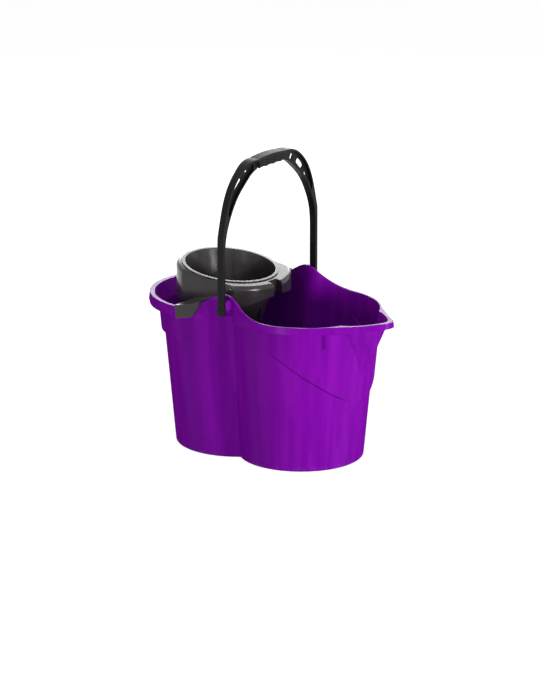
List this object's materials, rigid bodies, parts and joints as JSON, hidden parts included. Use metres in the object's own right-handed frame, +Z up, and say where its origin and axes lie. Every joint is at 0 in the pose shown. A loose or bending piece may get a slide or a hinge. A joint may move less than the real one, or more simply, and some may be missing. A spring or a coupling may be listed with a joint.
{
  "type": "mop bucket with wringer",
  "caption": "Figure-of-eight mop bucket with a pouring spout, a swinging bail handle and a lift-out cone wringer held in a collar that hooks over the rim.",
  "frame": {"origin": "middle of the foot, on the surface the bucket stands on", "axes": "+X towards the pouring spout, +Y across the bucket along the handle's hinge axis, +Z up"},
  "size_m": [0.4605, 0.258, 0.4965],
  "materials": {
    "purple_plastic": "glossy moulded",
    "black_plastic": "satin moulded",
    "grip_plastic": "fine texture",
    "grey_plastic": "glossy moulded"
  },
  "bodies": {
    "tub": {"bucket": "purple_plastic"},
    "handle": {"bail_handle": "black_plastic", "handle_grip": "grip_plastic"},
    "wringer": {"wringer_collar": "grey_plastic", "wringer_basket": "grey_plastic"}
  },
  "joints": [
    {"name": "bail_swing", "type": "hinge", "parent": "tub", "child": "handle", "pos_m": [-0.003, 0, 0.262], "axis": [0, 1, 0], "range_deg": [-75, 88]},
    {"name": "wringer_lift", "type": "slide", "parent": "tub", "child": "wringer", "axis": [0, 0, 1], "range_m": [0, 0.145]}
  ]
}
